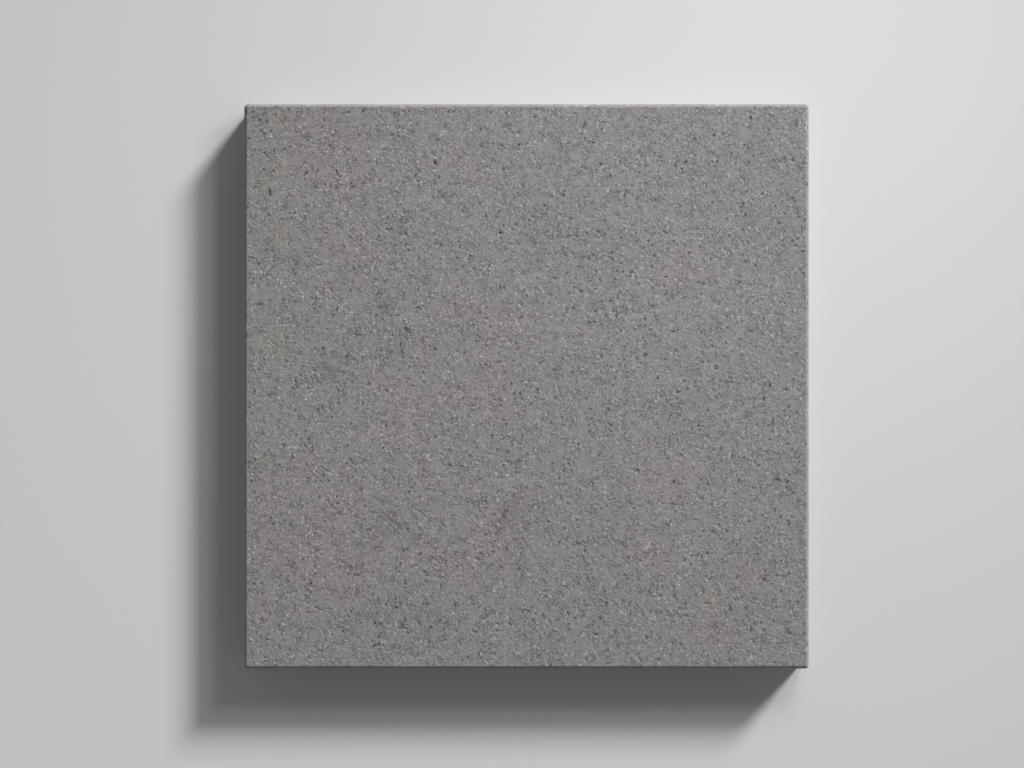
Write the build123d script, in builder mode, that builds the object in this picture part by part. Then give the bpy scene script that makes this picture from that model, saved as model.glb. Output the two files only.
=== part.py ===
from build123d import *
import os

# Square concrete paving slab with a bevelled face and spacer nibs, cast in one piece.
# Millimetres. It lies on its underside: +Z is up, and the origin is the centre of the underside.

# Laying grid: the slab and one open joint repeat at this pitch, both ways
grid_pitch = 600.0
joint_width = 3.0

# Body, from the underside to the wearing face
slab_thickness = 50.0

# Bevel round the wearing face: its width seen from above, and its depth down the side
bevel_run = 3.0
bevel_drop = 2.0

# Rounding that the bevel leaves on the corners of the wearing face
face_corner_radius = 1.0

# Spacer nibs on the side walls, standing on the level of the underside
nib_crest_width = 18.0
nib_flank_run = 4.0
nib_head_depth = 12.0
nib_head_slope = 6.0
nib_edge_radius = 3.0

# The body fills the grid apart from one joint
slab_side = grid_pitch - joint_width
half_side = slab_side / 2

# The bevel keeps its width round the corners, so the upright corners have a larger rounding
wall_corner_radius = face_corner_radius + bevel_run

# Two touching nibs make one joint. At a quarter of the grid from the middle of a wall they meet the
# neighbour's nibs whether the next row is laid in line or shifted by half a slab.
nib_reach = joint_width / 2
nib_offset = grid_pitch / 4
nib_root_width = nib_crest_width + 2 * nib_flank_run
nib_height = slab_thickness - nib_head_depth


# One nib, with its root on the plane X = 0 and its crest towards +X
with BuildPart() as nib:
    # Seen from above: sloping flanks beside a flat crest
    with BuildSketch(Plane.XY):
        with BuildLine():
            Polyline(
                (0, -nib_root_width / 2),
                (nib_reach, -nib_crest_width / 2),
                (nib_reach, nib_crest_width / 2),
                (0, nib_root_width / 2),
                close=True,
            )
        make_face()
    extrude(amount=nib_height)

    # Seen from the side: the head runs back into the wall, so that the mould strips off upwards
    with BuildSketch(Plane.XZ):
        with BuildLine():
            Polyline(
                (0, 0),
                (nib_reach, 0),
                (nib_reach, nib_height - nib_head_slope),
                (0, nib_height),
                close=True,
            )
        make_face()
    extrude(amount=nib_root_width / 2, both=True, mode=Mode.INTERSECT)

    # The crest is rounded into the flanks and the head
    crest = nib.faces().sort_by(Axis.X)[-1]
    foot_edge = crest.edges().sort_by(Axis.Z)[0]
    fillet(crest.edges() - [foot_edge], radius=nib_edge_radius)


with BuildPart() as slab:
    with BuildSketch(Plane.XY):
        RectangleRounded(slab_side, slab_side, wall_corner_radius)
    extrude(amount=slab_thickness)

    # Bevel round the wearing face
    wearing_face = slab.faces().sort_by(Axis.Z)[-1]
    chamfer(wearing_face.edges(), length=bevel_run, length2=bevel_drop, reference=wearing_face)

    # Two nibs on each of the four walls
    with PolarLocations(half_side, 4):
        with Locations((0, -nib_offset), (0, nib_offset)):
            add(nib.part)

slab.part.label = "slab"

os.makedirs("parts", exist_ok=True)
export_step(slab.part, "parts/slab.step")
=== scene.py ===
import math
import random

import bmesh
import bpy
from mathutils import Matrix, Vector, noise


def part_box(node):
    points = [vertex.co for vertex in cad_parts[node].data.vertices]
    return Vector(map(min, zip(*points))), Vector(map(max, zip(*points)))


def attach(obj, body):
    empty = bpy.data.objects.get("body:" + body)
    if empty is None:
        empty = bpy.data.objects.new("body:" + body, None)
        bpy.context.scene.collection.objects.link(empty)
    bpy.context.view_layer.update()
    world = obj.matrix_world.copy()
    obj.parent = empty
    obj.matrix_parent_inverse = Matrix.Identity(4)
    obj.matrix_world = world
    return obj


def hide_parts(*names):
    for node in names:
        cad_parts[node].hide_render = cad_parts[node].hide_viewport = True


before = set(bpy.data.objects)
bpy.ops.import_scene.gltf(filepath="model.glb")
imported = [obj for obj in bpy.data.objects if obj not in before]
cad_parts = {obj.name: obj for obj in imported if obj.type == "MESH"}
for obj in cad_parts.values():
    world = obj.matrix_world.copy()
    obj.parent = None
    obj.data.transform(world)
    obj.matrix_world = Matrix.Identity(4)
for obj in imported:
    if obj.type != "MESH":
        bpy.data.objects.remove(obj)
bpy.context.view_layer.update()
slab_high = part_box("slab")[1]

MM = 0.001

# The slab's sizes, as the construction gives them
NIB_REACH = 1.5 * MM
BEVEL_RUN = 3 * MM
BEVEL_DROP = 2 * MM
WALL = slab_high.x - NIB_REACH
ARRIS = WALL - BEVEL_RUN
FACE_LEVEL = slab_high.z
BEVEL_FOOT = FACE_LEVEL - BEVEL_DROP

# Cell sizes that the cast surface is divided into before it is roughened
FACE_CELL = 2.5 * MM
WALL_ROW = 3.6 * MM
UNDERSIDE_CELL = 7.5 * MM
# Distances from an edge line at which narrower cells lie, so that the arris stays crisp
EDGE_STEPS = (0.3 * MM, 1.2 * MM, 2.6 * MM)
# Shares of the bevel's width, from the arris outward, at which it is divided
BEVEL_LINES = (0, 0.09, 0.6)
# How far a cell's corner may move, as a share of its shortest edge
CELL_SHIFT = 0.22
SAME_PLACE = 0.001 * MM

# How far a face's normal points up or down: more than LEVEL where the face is level, more than SLOPED
# where it isn't a wall, and less than UPRIGHT where it is one and nothing else
LEVEL = 0.9
SLOPED = 0.5
UPRIGHT = 0.3
# Faces lie in one plane where the product of their normals is more than this
ONE_PLANE = 0.9999
# Neighbouring faces of the construction that turn less than this are joined
FLAT_ANGLE = math.radians(0.5)

# Relief of the surfaces, as height of each wave and its length
FACE_RELIEF = ((0.10 * MM, 90 * MM), (0.018 * MM, 14 * MM), (0.022 * MM, 5 * MM))
BEVEL_RELIEF = ((0.05 * MM, 25 * MM), (0.05 * MM, 6 * MM))
WALL_RELIEF = ((0.15 * MM, 45 * MM), (0.12 * MM, 9 * MM), (0.10 * MM, 5 * MM))
UNDERSIDE_RELIEF = ((0.25 * MM, 60 * MM), (0.3 * MM, 18 * MM))
# Marks that the mould drew up the walls, and how many times longer than wide they are
DRAG_RELIEF = ((0.10 * MM, 4 * MM),)
DRAG_STRETCH = 9
FACE_SAND = 0.022 * MM
BEVEL_SAND = 0.012 * MM
WALL_SAND = 0.05 * MM
WALL_SET_BACK = 0.15 * MM
UNDERSIDE_SET_BACK = 0.1 * MM

# Places along the arris that crumbled a little in handling
CRUMBLE_LENGTH = 7 * MM
CRUMBLE_START = 0.3
CRUMBLE_DEPTH = 0.9 * MM

# Open pores and proud grains: their number, cells to each, rim, and least and greatest depth
FACE_PORES = (
    (300, 1, 0.45 * MM, 0.2 * MM, 0.6 * MM),
    (450, 1, 0.75 * MM, 0.2 * MM, 0.8 * MM),
    (110, 2, 0.70 * MM, 0.3 * MM, 0.8 * MM),
    (15, 3, 0.65 * MM, 0.3 * MM, 0.8 * MM),
)
FACE_GRAINS = ((420, 1, 0.45 * MM, -0.06 * MM, -0.16 * MM), (160, 2, 0.5 * MM, -0.05 * MM, -0.14 * MM))
WALL_PORES = ((260, 1, 0.5 * MM, 0.4 * MM, 1.2 * MM), (90, 2, 0.6 * MM, 0.5 * MM, 1.5 * MM))
# Least and greatest share to which a corner of a pore's floor is drawn in, and of the depth it gets
PORE_NARROWING = (0.55, 1.05)
PORE_UNEVENNESS = (0.7, 1.25)
# Shortest edge of a wall cell that may hold a pore
WALL_PORE_CELL = 2 * MM

# The one larger blowhole of the wearing face, how full its bowl is, and the cuts across each cell there
BLOWHOLE = Vector((-128 * MM, 60 * MM, FACE_LEVEL))
BLOWHOLE_RADIUS = 3.0 * MM
BLOWHOLE_DEPTH = 0.9 * MM
BLOWHOLE_FULLNESS = 0.7
BLOWHOLE_CUTS = 3

# Flat map of the surface: the gap round each part, the side of the largest, and where the rest begins
MAP_GAP = 0.01
MAP_FACE = 0.74
MAP_REST = MAP_FACE + 2 * MAP_GAP
MAP_SCALE = MAP_FACE / (2 * WALL)
MAP_STRIP = BEVEL_FOOT * MAP_SCALE + MAP_GAP
MAP_REDUCED = (1 - MAP_GAP - MAP_REST) / (2 * (WALL + NIB_REACH))

# Stains of the wearing face, each as x, y and radius in millimetres
MAUVE_CLOUDS = (
    (-213, 245, 80),
    (-190, 140, 56),
    (-58, 232, 42),
    (-65, 34, 105),
    (-139, -30, 60),
    (-234, -167, 135),
    (-65, -156, 95),
    (164, 124, 30),
    (150, -95, 56),
    (135, -180, 44),
    (230, -200, 36),
    (200, -262, 40),
)
OLIVE_STAINS = ((-277, 218, 19), (-262, 44, 28), (-268, 150, 14), (-276, -78, 12))
TAN_STAINS = ((-262, 278, 17), (-260, 230, 14), (-260, 164, 18), (189, -226, 20))
SMUDGES = ((-134, 171, 13), (-145, 87, 18), (-139, 34, 22), (-208, 21, 18), (-141, -146, 22), (-14, -142, 28))
DULL_AREAS = ((35, 160, 52), (235, 205, 90), (156, -30, 50), (-139, -251, 56))
STAINS = {
    "mauve_cloud": MAUVE_CLOUDS,
    "olive_stain": OLIVE_STAINS,
    "tan_stain": TAN_STAINS,
    "smudge": SMUDGES,
    "dull_area": DULL_AREAS,
}
# Their ragged edge: the size of its lobes, how far they reach, and the noise's roughness, ratio and layers
STAIN_EDGE = 14 * MM
STAIN_RAGGED = 0.7
STAIN_NOISE = (1.0, 2.0, 3)

# Colours of the concrete and of its stains
NEUTRAL = (0.2215, 0.2221, 0.2217, 1)
MAUVE = (0.2430, 0.2126, 0.2224, 1)
OLIVE = (0.2210, 0.2250, 0.2070, 1)
TAN = (0.2365, 0.2222, 0.2105, 1)

# Patterns of the finish: the size of each, and the seed that moves it to a part of its own
GRAIN_PATTERN = (3.35 * MM, 11.3)
PALE_PATTERN = (1.95 * MM, 17.9)
DARK_PATTERN = (2.3 * MM, 37.1)
SAND_PATTERN = (2.9 * MM, 7.7)
BUSY_PATTERN = (13 * MM, 29.0)
MOTTLE_PATTERN = (20 * MM, 1.9)
CLOUD_PATTERN = (180 * MM, 8.8)
MAUVE_PATTERN = (45 * MM, 23.0)
MAUVE_SPOT_PATTERN = (15 * MM, 31.0)
# The warp that makes the grains irregular, and how far it pushes
WARP_PATTERN = (2.2 * MM, 4.7)
WARP_REACH = 1.2 * MM
# Noise lies mostly between a quarter and three quarters. This stretches it to reach from -1 to 1.
NOISE_STRETCH = 4.0

# How far each pattern shifts the tone, as a share of it
MEAN_TONE = 1.108
GRAIN_TONE = 0.135
# The gaps between grains are darkened as painted shade.
GAP_PAINTED_SHADE = 0.27
SAND_TONE = 0.18
MOTTLE_TONE = 0.014
CLOUD_TONE = 0.02
SMUDGE_TONE = 0.10
DULL_TONE = 0.04
LEAST_TONE = 0.1
# Pale grains, and small sunk pits darkened as painted shade: the share of all grains that they are, and how
# far they shift the tone
PALE_SHARE, PALE_TONE = 0.030, 0.58
DARK_SHARE, DARK_PIT_SHADE_TONE = 0.044, 0.45
# The part of that share, the rarest, that has the full tone. The rest is fainter.
FULL_PART = 0.4
# The tone lost in an open pore, as dirt and painted shade in its hollow, and the depth in millimetres at
# which all of it is lost
PORE_DIRT_AND_SHADE_TONE = 0.45
OPEN_PORE_DEPTH = 1.0
# Width of the gap between two grains, as a share of a grain
GAP_WIDTH = 0.22
# Contrast of the grain: from the pattern's low and high values to the calmest and busiest patches, and
# the share that the bevel loses
BUSY_RAMP = (-0.8, 0.8, 0.6, 1.3)
EDGE_CALM = 0.5
# Weight of the random and of the placed mauve clouds, and the two ramps from their sum to the colour
MAUVE_RANDOM = 0.5
MAUVE_PLACED = 0.8
MAUVE_RAMP = (-0.15, 0.8, 0.0, 0.6)
DEEP_MAUVE_RAMP = (1.0, 1.7, 0.0, 0.4)

# Relief of the grain, in millimetres
GRAIN_HEIGHT = 0.108
GRAIN_STAND = 0.064
SAND_HEIGHT = 0.155
DARK_HEIGHT = 0.12

# Dull surface of the concrete, and how much the sand changes its roughness
CONCRETE_ROUGHNESS = 0.9
SAND_ROUGHNESS = 0.04
CONCRETE_SPECULAR = 0.3

FLOOR_COLOUR = (0.62, 0.62, 0.61, 1)
FLOOR_ROUGHNESS = 0.9
FLOOR_RADIUS = 30
FLOOR_SIDES = 96

# Soft daylight from all round, brighter towards the horizon, a low key light, and a soft lamp close by on
# the same side, which makes the wearing face a little lighter towards that corner. Each lamp has the
# direction and the elevation that it shines from, in degrees.
ZENITH = 0.10
HORIZON = 0.72
HORIZON_FALL = 2.0
BACKDROP = 0.51
KEY_STRENGTH = 4.13
KEY_SPREAD = 0.2
KEY_FROM = (50, 24)
KEY_DISTANCE = 5
NEAR_POWER = 2.3
NEAR_SPREAD = math.radians(100)
NEAR_SIZE = 0.5
NEAR_FROM = (54, 45)
NEAR_DISTANCE = 1.4

# Where the photograph shows the slab, in its 1024x768 frame, and a lens as long as such a flat view has
PHOTO_WIDTH, PHOTO_HEIGHT = 1024, 768
SLAB_MIDDLE = (526.5, 386.45)
SLAB_PIXELS = 565
LENS = 85

draw = random.Random(20)


def even_places(low, high, step):
    """Places from low to high, both included, about a step apart."""
    count = max(round((high - low) / step), 1)
    return [low + (high - low) * i / count for i in range(count + 1)]


def cast_block():
    """The construction's slab as one closed skin, with its flat faces whole."""
    bm = bmesh.new()
    bm.from_mesh(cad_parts["slab"].data)
    bmesh.ops.remove_doubles(bm, verts=bm.verts, dist=SAME_PLACE)
    bmesh.ops.dissolve_limit(bm, angle_limit=FLAT_ANGLE, verts=bm.verts, edges=bm.edges)
    return bm


def score(bm, faces, axis, places):
    """Cuts the faces across an axis at each of the rising places."""
    normal = Vector((0, 0, 0))
    normal[axis] = 1
    ahead = list(faces)
    for place in places:
        edges = dict.fromkeys(edge for face in ahead for edge in face.edges)
        verts = dict.fromkeys(vert for face in ahead for vert in face.verts)
        cut = bmesh.ops.bisect_plane(
            bm,
            geom=[*verts, *edges, *ahead],
            dist=SAME_PLACE,
            plane_co=normal * place,
            plane_no=normal,
        )
        ahead = [
            piece
            for piece in cut["geom"]
            if isinstance(piece, bmesh.types.BMFace)
            and max(vert.co[axis] for vert in piece.verts) > place + SAME_PLACE
        ]
        if not ahead:
            break


def is_underside(face):
    return face.normal.z < -LEVEL


def underside(bm):
    return [face for face in bm.faces if is_underside(face)]


def above_underside(bm):
    return [face for face in bm.faces if not is_underside(face)]


def cut_cells(bm):
    """Divides the block's skin into small cells, narrower at the arris and wider underneath."""
    inner = ARRIS - EDGE_STEPS[-1]
    rim = [ARRIS - step for step in EDGE_STEPS[:-1]]
    bevel = [ARRIS + share * BEVEL_RUN for share in BEVEL_LINES]
    across = even_places(-inner, inner, FACE_CELL)
    across += [side * place for place in rim + bevel for side in (-1, 1)]
    across.sort()
    score(bm, above_underside(bm), 0, across)
    score(bm, above_underside(bm), 1, across)

    top_row = [BEVEL_FOOT - step for step in EDGE_STEPS]
    strips = [BEVEL_FOOT] + [FACE_LEVEL - share * BEVEL_DROP for share in BEVEL_LINES[1:]]
    up = even_places(0, top_row[-1], WALL_ROW)[1:] + top_row[:-1] + strips
    up.sort()
    score(bm, [face for face in bm.faces if abs(face.normal.z) < LEVEL], 2, up)

    every = round(UNDERSIDE_CELL / FACE_CELL)
    below = even_places(-inner, inner, FACE_CELL)[::every]
    score(bm, underside(bm), 0, below)
    score(bm, underside(bm), 1, below)


def crease_foot(bm):
    """Keeps the foot of the walls a sharp edge."""
    bm.normal_update()
    for edge in bm.edges:
        down = [is_underside(face) for face in edge.link_faces]
        if any(down) and not all(down):
            edge.smooth = False


def zone_of(vert):
    """Where a vertex lies: on the wearing face, the bevel, a wall or the underside."""
    if vert.co.z < SAME_PLACE:
        return "underside"
    if vert.co.z > FACE_LEVEL - SAME_PLACE:
        return "face"
    if vert.co.z > BEVEL_FOOT + SAME_PLACE:
        return "bevel"
    return "wall"


def map_place(place, normal):
    """Where a point of a face with this normal lies in the flat map.

    The wearing face and its bevel fill the lower left, the walls lie in strips along two sides of it,
    and the underside is reduced to fit the corner that is left.
    """
    if normal.z > SLOPED:
        return MAP_GAP + (place.x + WALL) * MAP_SCALE, MAP_GAP + (place.y + WALL) * MAP_SCALE
    if normal.z < -SLOPED:
        middle = (MAP_REST + 1 - MAP_GAP) / 2
        return middle + place.x * MAP_REDUCED, middle - place.y * MAP_REDUCED
    faces_x = abs(normal.x) > abs(normal.y)
    outward = normal.x if faces_x else normal.y
    strip = MAP_REST if outward > 0 else MAP_REST + MAP_STRIP
    along = math.copysign(1, outward) * (place.y if faces_x else -place.x)
    run = MAP_GAP + (along + WALL) * MAP_SCALE
    rise = place.z * MAP_SCALE
    if faces_x:
        return run, strip + rise
    return strip + MAP_STRIP - MAP_GAP - rise, run


def lay_out_map(bm):
    flat_map = bm.loops.layers.uv.new("OFBake")
    for face in bm.faces:
        for loop in face.loops:
            loop[flat_map].uv = map_place(loop.vert.co, face.normal)


def shift_cells(bm):
    """Moves the cells' corners a little within their flat face, so that no grid shows."""
    moves = []
    for vert in bm.verts:
        normals = [face.normal for face in vert.link_faces]
        if any(normal.dot(normals[0]) < ONE_PLANE for normal in normals):
            continue
        reach = CELL_SHIFT * min(edge.calc_length() for edge in vert.link_edges)
        move = Vector((draw.uniform(-1, 1), draw.uniform(-1, 1), draw.uniform(-1, 1))) * reach
        moves.append((vert, move - move.dot(normals[0]) * normals[0]))
    for vert, move in moves:
        vert.co += move


def waves(place, relief):
    """Height at a place of several layers of smooth noise."""
    return sum(height * noise.noise(place / length) for height, length in relief)


def crumbled(place):
    """How far the arris has crumbled at a place: nothing along most of it."""
    return CRUMBLE_DEPTH * max(noise.noise(place / CRUMBLE_LENGTH) - CRUMBLE_START, 0)


def height_at(vert, zone):
    """How far a vertex stands out from its smooth surface."""
    place = vert.co.copy()
    if zone == "underside":
        return min(waves(place, UNDERSIDE_RELIEF) - UNDERSIDE_SET_BACK, 0)
    if zone == "wall":
        streak = Vector((place.x, place.y, place.z / DRAG_STRETCH))
        height = waves(place, WALL_RELIEF) + waves(streak, DRAG_RELIEF)
        return height - WALL_SET_BACK + draw.gauss(0, WALL_SAND)
    at_arris = zone == "face" and max(abs(place.x), abs(place.y)) > ARRIS - SAME_PLACE
    if zone == "bevel" or at_arris:
        return waves(place, BEVEL_RELIEF) + draw.gauss(0, BEVEL_SAND) - crumbled(place)
    return waves(place, FACE_RELIEF) + draw.gauss(0, FACE_SAND)


def roughen(bm):
    """Gives each surface its relief, along its own normal. The foot of the walls stays where it is."""
    bm.normal_update()
    moves = []
    for vert in bm.verts:
        zone = zone_of(vert)
        at_foot = zone == "underside" and not all(is_underside(face) for face in vert.link_faces)
        if not at_foot:
            moves.append((vert, vert.normal * height_at(vert, zone)))
    for vert, move in moves:
        vert.co += move


def pick_cells(cells, taken, count, span):
    """Random groups of neighbouring cells, no two of which touch. Their corners are added to taken."""
    order = list(cells)
    draw.shuffle(order)
    free = set(cells)
    groups = []
    for first in order:
        if len(groups) == count:
            break
        group = [first]
        while len(group) < span:
            beside = [face for edge in group[-1].edges for face in edge.link_faces if face in free]
            beside = [face for face in beside if face not in group]
            if not beside:
                break
            group.append(draw.choice(beside))
        corners = {vert for face in group for vert in face.verts}
        if len(group) == span and not corners & taken:
            taken |= corners
            groups.append(group)
    return groups


def sink(bm, groups, rim, low, high, depth_of):
    """Sinks each group of cells within a rim, or raises it where low and high are negative."""
    floors = [face for group in groups for face in group]
    bmesh.ops.inset_region(
        bm,
        faces=floors,
        thickness=rim,
        use_even_offset=True,
        use_boundary=True,
        use_interpolate=True,
    )
    for group in groups:
        depth = draw.uniform(low, high)
        normal = group[0].normal.copy()
        verts = list(dict.fromkeys(vert for face in group for vert in face.verts))
        middle = sum((vert.co for vert in verts), Vector()) / len(verts)
        for vert in verts:
            arm = (vert.co - middle) * draw.uniform(*PORE_NARROWING)
            here = depth * draw.uniform(*PORE_UNEVENNESS)
            vert.co = middle + arm - normal * here
            # A pore's depth noted here darkens the finish in it, as dirt and painted shade; raised grains get
            # none.
            vert[depth_of] = here / MM


def open_pores(bm, depth_of):
    """Pores and proud grains of the wearing face, and the coarser pores of the walls."""
    limit = ARRIS - EDGE_STEPS[-1]
    cells = [
        face
        for face in bm.faces
        if face.normal.z > LEVEL
        and len(face.verts) == 4
        and max(abs(c) for v in face.verts for c in v.co.xy) < limit
    ]
    walls = [
        face
        for face in bm.faces
        if abs(face.normal.z) < UPRIGHT
        and len(face.verts) == 4
        and min(edge.calc_length() for edge in face.edges) > WALL_PORE_CELL
    ]
    taken = set()
    for surface, kinds in ((cells, FACE_PORES + FACE_GRAINS), (walls, WALL_PORES)):
        for count, span, rim, low, high in kinds:
            sink(bm, pick_cells(surface, taken, count, span), rim, low, high, depth_of)


def sink_blowhole(bm, depth_of):
    """One bowl-shaped blowhole, in cells fine enough to be round."""
    near = [
        face
        for face in bm.faces
        if (face.calc_center_median() - BLOWHOLE).length < 2 * BLOWHOLE_RADIUS
    ]
    edges = dict.fromkeys(edge for face in near for edge in face.edges)
    bmesh.ops.subdivide_edges(bm, edges=list(edges), cuts=BLOWHOLE_CUTS, use_grid_fill=True)
    for vert in bm.verts:
        away = (vert.co.xy - BLOWHOLE.xy).length / BLOWHOLE_RADIUS
        if vert.co.z > BEVEL_FOOT and away < 1:
            depth = BLOWHOLE_DEPTH * (1 - away**2) ** BLOWHOLE_FULLNESS
            vert.co.z -= depth
            # The depth noted here darkens the finish in the blowhole, as dirt and painted shade.
            vert[depth_of] = depth / MM


def stained(place, patches):
    """How strongly a place is stained, from 0 to 1, by patches with ragged edges."""
    ragged = 1 + STAIN_RAGGED * noise.fractal(place / STAIN_EDGE, *STAIN_NOISE)
    nearest = min(math.hypot(place.x - x * MM, place.y - y * MM) / (radius * MM) for x, y, radius in patches)
    inside = min(max(2 - 2 * nearest * ragged, 0), 1)
    return inside * inside * (3 - 2 * inside)


def mark_surface(bm):
    """Notes at each vertex what the finish follows: stains, and whether it is on the bevel.

    The stains fade out down the upper half of the walls.
    """
    layers = [(bm.verts.layers.float.new(name), patches) for name, patches in STAINS.items()]
    bevel_of = bm.verts.layers.float.new("bevel")
    for vert in bm.verts:
        fade = min(max(2 * vert.co.z / FACE_LEVEL - 1, 0), 1)
        for layer, patches in layers:
            vert[layer] = fade * stained(vert.co, patches)
        reach = max(abs(vert.co.x), abs(vert.co.y))
        vert[bevel_of] = float(vert.co.z > BEVEL_FOOT - EDGE_STEPS[0] and reach > ARRIS - EDGE_STEPS[0])


def build_slab():
    bm = cast_block()
    cut_cells(bm)
    crease_foot(bm)
    lay_out_map(bm)
    shift_cells(bm)
    roughen(bm)
    depth_of = bm.verts.layers.float.new("pore_depth")
    bm.normal_update()
    open_pores(bm, depth_of)
    sink_blowhole(bm, depth_of)
    mark_surface(bm)
    for face in bm.faces:
        face.smooth = True
    mesh = bpy.data.meshes.new("paving_slab")
    bm.to_mesh(mesh)
    bm.free()
    return bpy.data.objects.new("paving_slab", mesh)


class Nodes:
    """A tree of shading nodes. An input of a node is a plain value, or another node's output."""

    def __init__(self, tree):
        self.tree = tree

    def feed(self, socket, value):
        if isinstance(value, bpy.types.NodeSocket):
            self.tree.links.new(value, socket)
        else:
            socket.default_value = value

    def add(self, kind, inputs=None, **settings):
        node = self.tree.nodes.new(kind)
        for name, value in settings.items():
            setattr(node, name, value)
        for name, value in (inputs or {}).items():
            self.feed(node.inputs[name], value)
        return node

    def calc(self, operation, *values):
        node = self.add("ShaderNodeMath", operation=operation)
        for socket, value in zip(node.inputs, values):
            self.feed(socket, value)
        return node.outputs[0]

    def plus(self, total, value, share):
        """The total with this share of the value added."""
        return self.calc("MULTIPLY_ADD", value, share, total)

    def layer_of(self, name):
        """A value noted at the mesh's vertices."""
        return self.add("ShaderNodeAttribute", attribute_name=name).outputs["Fac"]

    def scaled(self, place, size, seed):
        """Coordinates in which a pattern of this size is one unit, moved to a part of its own."""
        inputs = {"Vector": place, "Location": (seed, 2 * seed, 3 * seed), "Scale": (1 / size,) * 3}
        return self.add("ShaderNodeMapping", inputs).outputs["Vector"]

    def noise(self, place, size, seed, detail=2.0):
        """Smooth noise round one half, with features about size across."""
        inputs = {"Vector": self.scaled(place, size, seed), "Scale": 1.0, "Detail": detail}
        return self.add("ShaderNodeTexNoise", inputs)

    def waver(self, place, size, seed, detail=2.0):
        """Smooth noise round nought, from about -1 to 1."""
        level = self.noise(place, size, seed, detail).outputs["Fac"]
        return self.calc("MULTIPLY_ADD", level, NOISE_STRETCH, -NOISE_STRETCH / 2)

    def warped(self, place, size, seed, reach):
        """Coordinates pushed about by up to reach, so that shapes drawn on them are irregular."""
        push = self.noise(place, size, seed, 1.0).outputs["Color"]
        centred = self.add("ShaderNodeVectorMath", {0: push, 1: (-0.5, -0.5, -0.5)}, operation="ADD")
        inputs = {0: centred.outputs[0], 1: (2 * reach,) * 3, 2: place}
        return self.add("ShaderNodeVectorMath", inputs, operation="MULTIPLY_ADD").outputs[0]

    def ramp(self, value, low, high, to_low, to_high):
        """Smooth change from to_low, at a value of low, to to_high, at high."""
        inputs = {"Value": value, "From Min": low, "From Max": high, "To Min": to_low, "To Max": to_high}
        return self.add("ShaderNodeMapRange", inputs, interpolation_type="SMOOTHSTEP").outputs["Result"]

    def mix(self, kind, factor, first, second):
        """Mixes two colours, or multiplies them."""
        inputs = {0: factor, 6: first, 7: second}
        return self.add("ShaderNodeMix", inputs, data_type="RGBA", blend_type=kind).outputs[2]


class Finish(Nodes):
    """One material and its nodes."""

    def __init__(self, name):
        self.material = bpy.data.materials.new(name)
        self.material.use_nodes = True
        super().__init__(self.material.node_tree)
        self.shader = self.tree.nodes["Principled BSDF"]


def packed_grains(finish, bent, size, seed):
    """Packed grains: the coordinates that divide them, and three random lots for each."""
    at = finish.scaled(bent, size, seed)
    colour = finish.add("ShaderNodeTexVoronoi", {"Vector": at, "Scale": 1.0}).outputs["Color"]
    return at, finish.add("ShaderNodeSeparateColor", {"Color": colour}).outputs


def rarest(finish, lot, share):
    """Up to 1 in the grains whose lot is in the highest share, and 0 in all others."""
    return finish.ramp(lot, 1 - share, 1 - FULL_PART * share, 0.0, 1.0)


def grain_patterns(finish, place):
    """The grain that both the tone and the relief follow, as named patterns."""
    bent = finish.warped(place, *WARP_PATTERN, WARP_REACH)
    at, lots = packed_grains(finish, bent, *GRAIN_PATTERN)
    rim = finish.add("ShaderNodeTexVoronoi", {"Vector": at, "Scale": 1.0}, feature="DISTANCE_TO_EDGE")
    pale_lots = packed_grains(finish, bent, *PALE_PATTERN)[1]
    dark_lots = packed_grains(finish, bent, *DARK_PATTERN)[1]
    busy = finish.ramp(finish.waver(place, *BUSY_PATTERN, detail=1.0), *BUSY_RAMP)
    calm = finish.plus(1.0, finish.layer_of("bevel"), -EDGE_CALM)
    return {
        "lot": lots["Red"],
        "gap": finish.ramp(rim.outputs["Distance"], 0.0, GAP_WIDTH, 1.0, 0.0),
        "sand": finish.waver(place, *SAND_PATTERN, detail=1.0),
        "pale": rarest(finish, pale_lots["Green"], PALE_SHARE),
        "dark": rarest(finish, dark_lots["Blue"], DARK_SHARE),
        "contrast": finish.calc("MULTIPLY", busy, calm),
    }


def concrete_tone(finish, place, grain):
    """How light each place is, as a share of its plain colour. Gaps between grains and small sunk pits are
    darkened here as painted shade, and open pores by their depth as dirt and painted shade.
    """
    fine = finish.plus(-GRAIN_TONE, grain["lot"], 2 * GRAIN_TONE)
    # Painted shade in the gaps between grains.
    fine = finish.plus(fine, grain["gap"], -GAP_PAINTED_SHADE)
    fine = finish.plus(fine, grain["sand"], SAND_TONE)
    tone = finish.plus(MEAN_TONE, fine, grain["contrast"])
    tone = finish.plus(tone, grain["pale"], PALE_TONE)
    # Painted shade in the small sunk pits.
    tone = finish.plus(tone, grain["dark"], -DARK_PIT_SHADE_TONE)
    tone = finish.plus(tone, finish.waver(place, *MOTTLE_PATTERN), MOTTLE_TONE)
    tone = finish.plus(tone, finish.waver(place, *CLOUD_PATTERN), CLOUD_TONE)
    tone = finish.plus(tone, finish.layer_of("smudge"), -SMUDGE_TONE)
    tone = finish.plus(tone, finish.layer_of("dull_area"), -DULL_TONE)
    # Open pores grow darker with depth: dirt and painted shade.
    pore = finish.ramp(finish.layer_of("pore_depth"), 0.0, OPEN_PORE_DEPTH, 0.0, PORE_DIRT_AND_SHADE_TONE)
    return finish.calc("MAXIMUM", finish.calc("SUBTRACT", tone, pore), LEAST_TONE)


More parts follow.
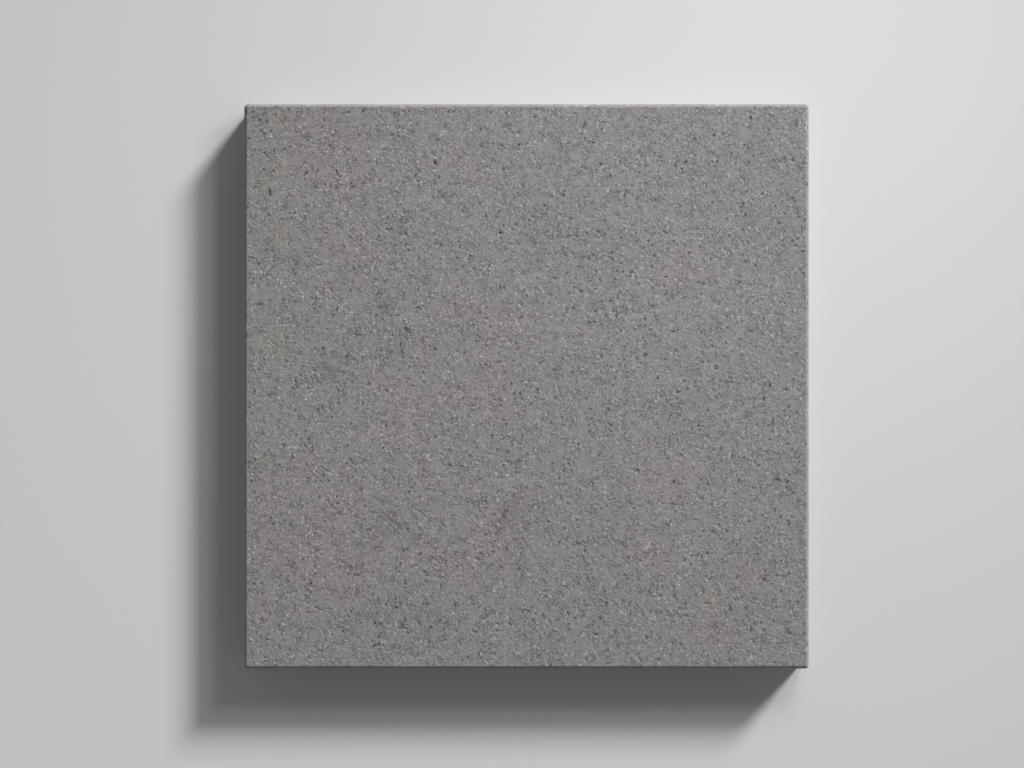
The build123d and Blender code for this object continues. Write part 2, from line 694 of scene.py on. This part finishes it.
def concrete_tint(finish, place):
    """The plain colour of each place: grey, with mauve clouds and with olive and tan stains."""
    cloudy = finish.calc("MULTIPLY", finish.waver(place, *MAUVE_PATTERN), MAUVE_RANDOM)
    cloudy = finish.plus(cloudy, finish.waver(place, *MAUVE_SPOT_PATTERN), MAUVE_RANDOM)
    cloudy = finish.plus(cloudy, finish.layer_of("mauve_cloud"), MAUVE_PLACED)
    mauve = finish.calc("ADD", finish.ramp(cloudy, *MAUVE_RAMP), finish.ramp(cloudy, *DEEP_MAUVE_RAMP))
    tint = finish.mix("MIX", mauve, NEUTRAL, MAUVE)
    tint = finish.mix("MIX", finish.layer_of("olive_stain"), tint, OLIVE)
    return finish.mix("MIX", finish.layer_of("tan_stain"), tint, TAN)


def concrete_relief(finish, grain):
    """Height of each place in millimetres."""
    height = finish.calc("MULTIPLY", grain["gap"], -GRAIN_HEIGHT)
    height = finish.plus(height, grain["lot"], GRAIN_STAND)
    height = finish.plus(height, grain["sand"], SAND_HEIGHT)
    height = finish.calc("MULTIPLY", height, grain["contrast"])
    return finish.plus(height, grain["dark"], -DARK_HEIGHT)


def concrete():
    """Fine grey concrete: packed sand grains with gaps darkened as painted shade, open pores, faint clouds
    and stains.
    """
    finish = Finish("cast_concrete")
    place = finish.add("ShaderNodeTexCoord").outputs["Object"]
    grain = grain_patterns(finish, place)
    tone = concrete_tone(finish, place, grain)
    grey = finish.add("ShaderNodeCombineColor", {"Red": tone, "Green": tone, "Blue": tone})
    colour = finish.mix("MULTIPLY", 1.0, concrete_tint(finish, place), grey.outputs["Color"])
    relief = {"Strength": 1.0, "Distance": MM, "Height": concrete_relief(finish, grain)}
    bump = finish.add("ShaderNodeBump", relief)
    roughness = finish.plus(CONCRETE_ROUGHNESS, grain["sand"], SAND_ROUGHNESS)
    finish.feed(finish.shader.inputs["Base Color"], colour)
    finish.feed(finish.shader.inputs["Roughness"], roughness)
    finish.feed(finish.shader.inputs["Normal"], bump.outputs["Normal"])
    finish.shader.inputs["Specular IOR Level"].default_value = CONCRETE_SPECULAR
    return finish.material


def floor_material():
    finish = Finish("pale_floor")
    finish.shader.inputs["Base Color"].default_value = FLOOR_COLOUR
    finish.shader.inputs["Roughness"].default_value = FLOOR_ROUGHNESS
    return finish.material


def lay_floor():
    bm = bmesh.new()
    bmesh.ops.create_circle(bm, cap_ends=True, segments=FLOOR_SIDES, radius=FLOOR_RADIUS)
    mesh = bpy.data.meshes.new("floor")
    bm.to_mesh(mesh)
    bm.free()
    floor = bpy.data.objects.new("floor", mesh)
    floor.data.materials.append(floor_material())
    bpy.context.scene.collection.objects.link(floor)


def hang_lamp(name, kind, power, direction, distance):
    """Adds a lamp that points at the slab, and returns its settings."""
    azimuth, elevation = (math.radians(angle) for angle in direction)
    along = math.cos(elevation)
    toward = Vector((along * math.cos(azimuth), along * math.sin(azimuth), math.sin(elevation)))
    settings = bpy.data.lights.new(name, kind)
    settings.energy = power
    lamp = bpy.data.objects.new(name, settings)
    lamp.location = toward * distance
    lamp.rotation_euler = toward.to_track_quat("Z", "Y").to_euler()
    bpy.context.scene.collection.objects.link(lamp)
    return settings


def light_sky():
    """Daylight from the sky, which the camera, reflections and clear things see as a plain backdrop."""
    world = bpy.data.worlds.new("studio")
    bpy.context.scene.world = world
    world.use_nodes = True
    sky = Nodes(world.node_tree)
    toward = sky.add("ShaderNodeTexCoord").outputs["Generated"]
    rise = sky.add("ShaderNodeSeparateXYZ", {"Vector": toward}).outputs["Z"]
    low = sky.calc("POWER", sky.calc("SUBTRACT", 1.0, rise), HORIZON_FALL)
    light = sky.plus(ZENITH, low, HORIZON - ZENITH)
    ray = sky.add("ShaderNodeLightPath").outputs
    seen = sky.calc("MAXIMUM", ray["Is Camera Ray"], ray["Is Glossy Ray"])
    seen = sky.calc("MAXIMUM", seen, ray["Is Transmission Ray"])
    plain = sky.calc("MULTIPLY", seen, sky.calc("SUBTRACT", BACKDROP, light))
    background = world.node_tree.nodes["Background"]
    background.inputs["Color"].default_value = (1, 1, 1, 1)
    sky.feed(background.inputs["Strength"], sky.calc("ADD", light, plain))


def light_lamps():
    key = hang_lamp("key", "SUN", KEY_STRENGTH, KEY_FROM, KEY_DISTANCE)
    key.angle = KEY_SPREAD
    near = hang_lamp("near", "AREA", NEAR_POWER, NEAR_FROM, NEAR_DISTANCE)
    near.shape = "DISK"
    near.size = NEAR_SIZE
    near.spread = NEAR_SPREAD


def set_camera():
    """Looks straight down, so that the slab lands where the photograph shows it."""
    data = bpy.data.cameras.new("camera")
    data.lens = LENS
    camera = bpy.data.objects.new("camera", data)
    bpy.context.scene.collection.objects.link(camera)
    bpy.context.scene.camera = camera
    pixel = 2 * WALL / SLAB_PIXELS
    distance = PHOTO_WIDTH * pixel * data.lens / data.sensor_width
    right = SLAB_MIDDLE[0] - PHOTO_WIDTH / 2
    down = SLAB_MIDDLE[1] - PHOTO_HEIGHT / 2
    camera.location = (-right * pixel, down * pixel, FACE_LEVEL + distance)


slab = build_slab()
bpy.context.scene.collection.objects.link(slab)
slab.data.materials.append(concrete())
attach(slab, "root")
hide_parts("slab")

lay_floor()
light_sky()
light_lamps()
set_camera()
bpy.context.scene.view_settings.view_transform = "Standard"

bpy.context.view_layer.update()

slab.data.calc_loop_triangles()
print("triangles", len(slab.data.loop_triangles))
